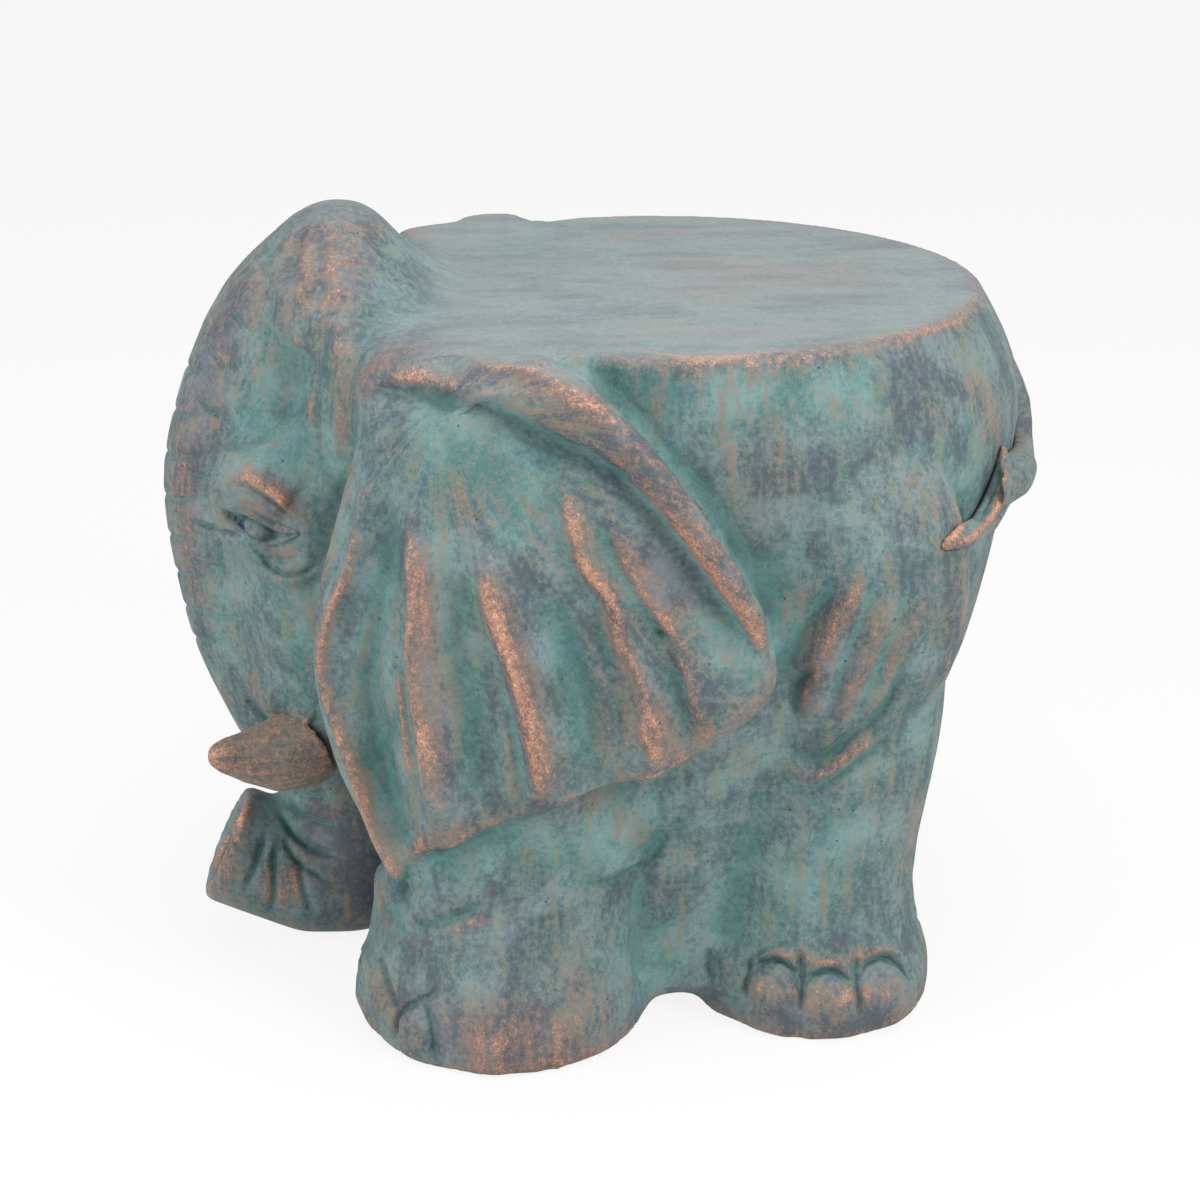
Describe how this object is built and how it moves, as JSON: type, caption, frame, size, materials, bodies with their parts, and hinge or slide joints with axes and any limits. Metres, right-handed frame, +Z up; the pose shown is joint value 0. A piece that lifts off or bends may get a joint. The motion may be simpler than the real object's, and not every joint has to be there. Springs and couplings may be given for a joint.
{
  "type": "garden stool",
  "caption": "Elephant-shaped garden stool and side table: a round flat seat on a stout hollow body with wide ears, short tusks and a curled trunk, in copper-rubbed verdigris.",
  "frame": {"origin": "middle of the stool's box in plan, on the floor", "axes": "+Z up; the head faces -X and the elephant's left side faces -Y"},
  "size_m": [0.448, 0.3838, 0.3881],
  "materials": {
    "patinated_casting": "matte verdigris paint over slate grey, rubbed with copper on the raised parts",
    "copper_rubbed_casting": "matte copper rubbing over slate grey",
    "steel": "plain"
  },
  "bodies": {
    "root": {"body_casting": "patinated_casting", "trunk": "patinated_casting", "tail": "patinated_casting", "left_ear": "patinated_casting", "right_ear": "patinated_casting", "left_tusk": "copper_rubbed_casting", "right_tusk": "copper_rubbed_casting", "trunk_rod": "steel", "tail_pin": "steel", "left_tusk_pin": "steel", "right_tusk_pin": "steel", "left_ear_upper_pin": "steel", "left_ear_lower_pin": "steel", "right_ear_upper_pin": "steel", "right_ear_lower_pin": "steel"}
  },
  "joints": []
}
